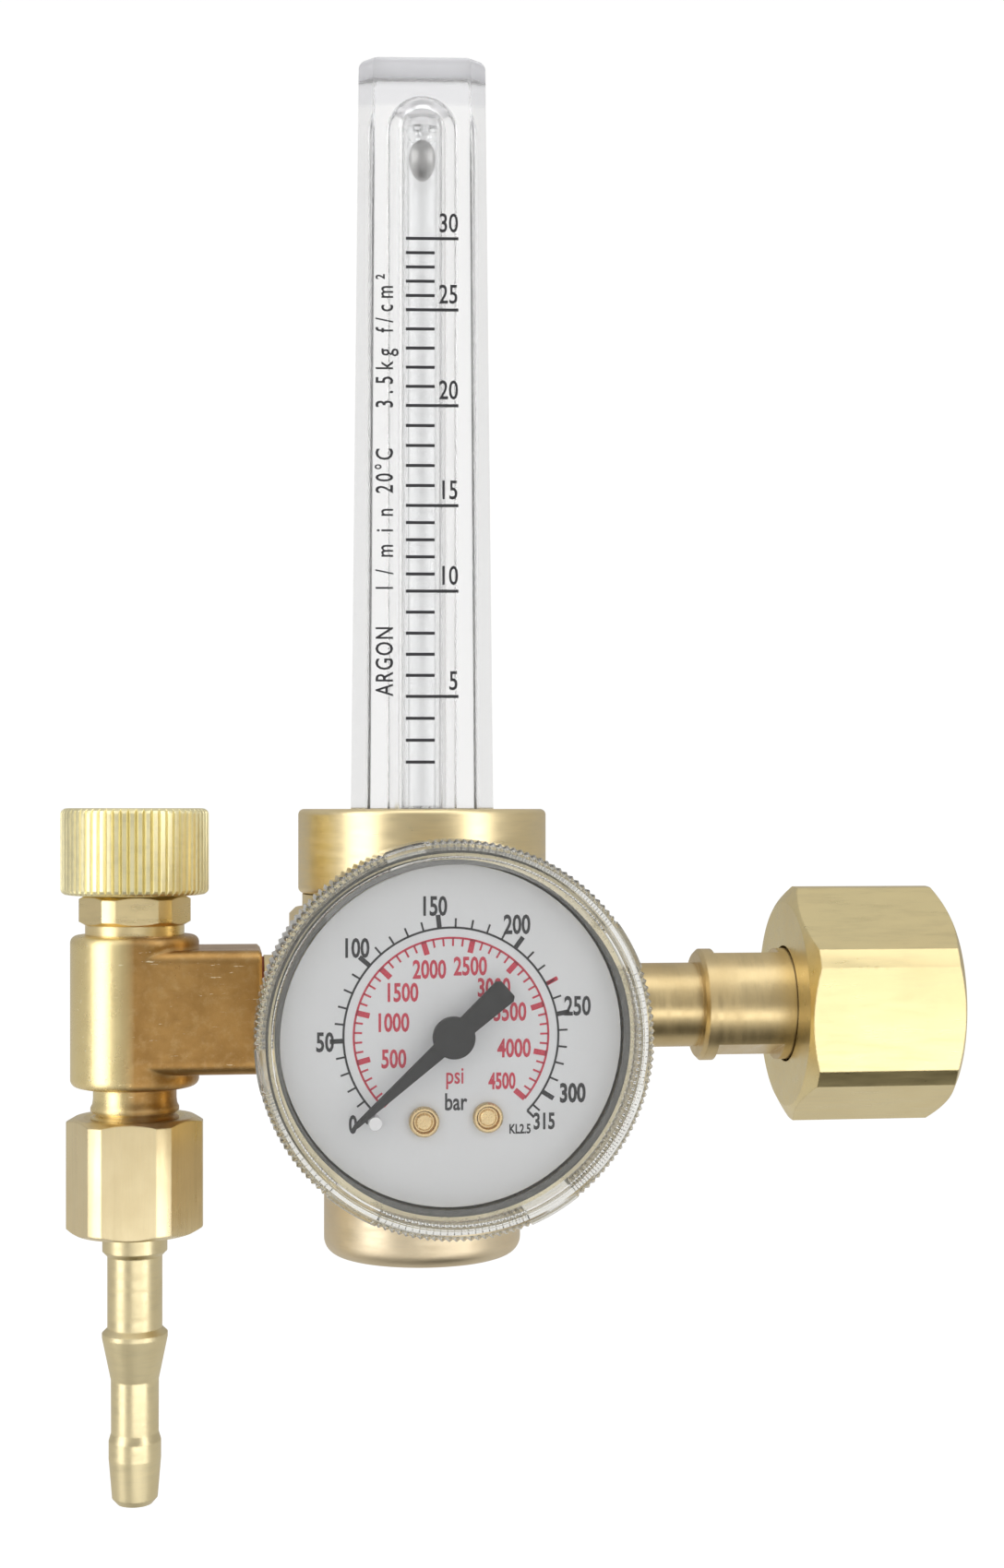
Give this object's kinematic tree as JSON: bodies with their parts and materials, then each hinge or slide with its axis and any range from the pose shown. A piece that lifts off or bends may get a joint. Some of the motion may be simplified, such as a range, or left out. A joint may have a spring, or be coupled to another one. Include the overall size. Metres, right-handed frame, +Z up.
{
  "type": "gas regulator",
  "caption": "Shielding-gas regulator: brass body with a clear flow tube, cylinder-pressure dial gauge, hexagonal inlet nut, needle valve with knurled knob and a barbed hose tail.",
  "frame": {"origin": "middle of the inlet gasket's sealing face, on the inlet's axis", "axes": "+X along the inlet's axis, out of the inlet nut's mouth; the gauge faces -Y; +Z up along the flow tube"},
  "size_m": [0.1229, 0.0644, 0.1968],
  "materials": {
    "machined_brass": "machined and lightly polished",
    "polished_brass": "turned and polished",
    "satin_brass": "satin, knurled",
    "forged_brass": "hot-forged skin with fine scratches",
    "gauge_case_brass": "pale pressed shell",
    "movement_brass": "stamped and deburred",
    "bronze": "sintered or drawn bronze",
    "steel": "bright",
    "spring_steel": "drawn wire",
    "seal_rubber": "matt black",
    "seat_polymer": "white",
    "gasket_fibre": "red-brown fibre",
    "clear_plastic": "clear, moulded",
    "dial_white": "matt white print ground",
    "pointer_black": "matt black"
  },
  "bodies": {
    "regulator": {"regulator_body": "machined_brass", "passage_plug": "steel", "bottom_cap": "polished_brass", "main_spring": "spring_steel", "seat_nozzle": "machined_brass", "poppet_spring": "spring_steel", "inlet_stem": "machined_brass", "inlet_filter": "bronze", "inlet_gasket": "gasket_fibre", "flow_tube_block": "clear_plastic", "metering_tube": "clear_plastic", "upper_ball_stop": "seat_polymer", "lower_ball_stop": "clear_plastic", "block_seal": "seal_rubber", "feed_seal": "seal_rubber", "tube_collar": "polished_brass", "outlet_valve_body": "forged_brass", "arm_gasket": "gasket_fibre", "bonnet": "machined_brass", "gauge_window": "clear_plastic", "gauge_case": "gauge_case_brass", "gauge_dial": "dial_white", "dial_screws": "movement_brass", "pointer_stop_pin": "steel", "dial_bracket": "movement_brass", "movement_back_plate": "movement_brass", "movement_front_plate": "movement_brass", "movement_pillars": "movement_brass", "hairspring": "bronze", "bourdon_tube": "bronze", "gauge_socket": "machined_brass", "gauge_gasket": "gasket_fibre", "case_screws": "steel"},
    "seal_carrier": {"spindle_o_ring": "seal_rubber"},
    "knob": {"control_knob": "satin_brass", "valve_spindle": "machined_brass", "knob_screw": "steel"},
    "tail": {"hose_tail": "machined_brass"},
    "hose_nut": {"hose_nut": "machined_brass"},
    "inlet_nut": {"inlet_nut": "machined_brass"},
    "pointer": {"gauge_pointer": "pointer_black", "pinion_arbor": "movement_brass"},
    "sector": {"sector_gear": "movement_brass"},
    "link": {"link_rod": "movement_brass"},
    "float": {"float_ball": "steel"},
    "piston": {"piston": "machined_brass", "piston_o_ring": "seal_rubber", "push_pin": "steel", "poppet": "machined_brass", "poppet_seat": "seat_polymer"}
  },
  "joints": [
    {"name": "spindle_rise", "type": "slide", "parent": "regulator", "child": "seal_carrier", "axis": [0, 0, 1], "range_m": [0, 0.0024]},
    {"name": "knob_turn", "type": "hinge", "parent": "seal_carrier", "child": "knob", "pos_m": [-0.1019, 0, 0.016], "axis": [0, 0, 1], "range_deg": [0, 1080]},
    {"name": "tail_drop", "type": "slide", "parent": "regulator", "child": "tail", "axis": [0, 0, -1], "range_m": [0, 0.005]},
    {"name": "hose_nut_turn", "type": "hinge", "parent": "tail", "child": "hose_nut", "pos_m": [-0.1019, 0, -0.02], "axis": [0, 0, -1], "range_deg": [0, 1440]},
    {"name": "inlet_nut_spin", "type": "hinge", "parent": "regulator", "child": "inlet_nut", "pos_m": [0, 0, 0], "axis": [1, 0, 0], "continuous": true},
    {"name": "sector_turn", "type": "hinge", "parent": "regulator", "child": "sector", "pos_m": [-0.05575, -0.031, -0.01169], "axis": [0, 1, 0], "range_deg": [-33.5, 0]},
    {"name": "pointer_turn", "type": "hinge", "parent": "regulator", "child": "pointer", "pos_m": [-0.0625, -0.031, 0], "axis": [0, 1, 0], "range_deg": [0, 268]},
    {"name": "link_turn", "type": "hinge", "parent": "sector", "child": "link", "pos_m": [-0.05201, -0.03, -0.01235], "axis": [0, 1, 0], "range_deg": [0, 33.5]},
    {"name": "float_drop", "type": "slide", "parent": "regulator", "child": "float", "axis": [0, 0, -1], "range_m": [0, 0.0861]},
    {"name": "piston_travel", "type": "slide", "parent": "regulator", "child": "piston", "axis": [0, 0, -1], "range_m": [0, 0.0006], "stiffness_N_per_m": 2000, "springref_m": -0.001, "deforming": ["main_spring", "poppet_spring"]}
  ],
  "couplings": [
    {"joint": "knob_turn", "follows": "spindle_rise", "rad_per_m": 7854},
    {"joint": "hose_nut_turn", "follows": "tail_drop", "rad_per_m": 5026.6},
    {"joint": "pointer_turn", "follows": "sector_turn", "ratio": -8},
    {"joint": "link_turn", "follows": "sector_turn", "ratio": -1}
  ]
}
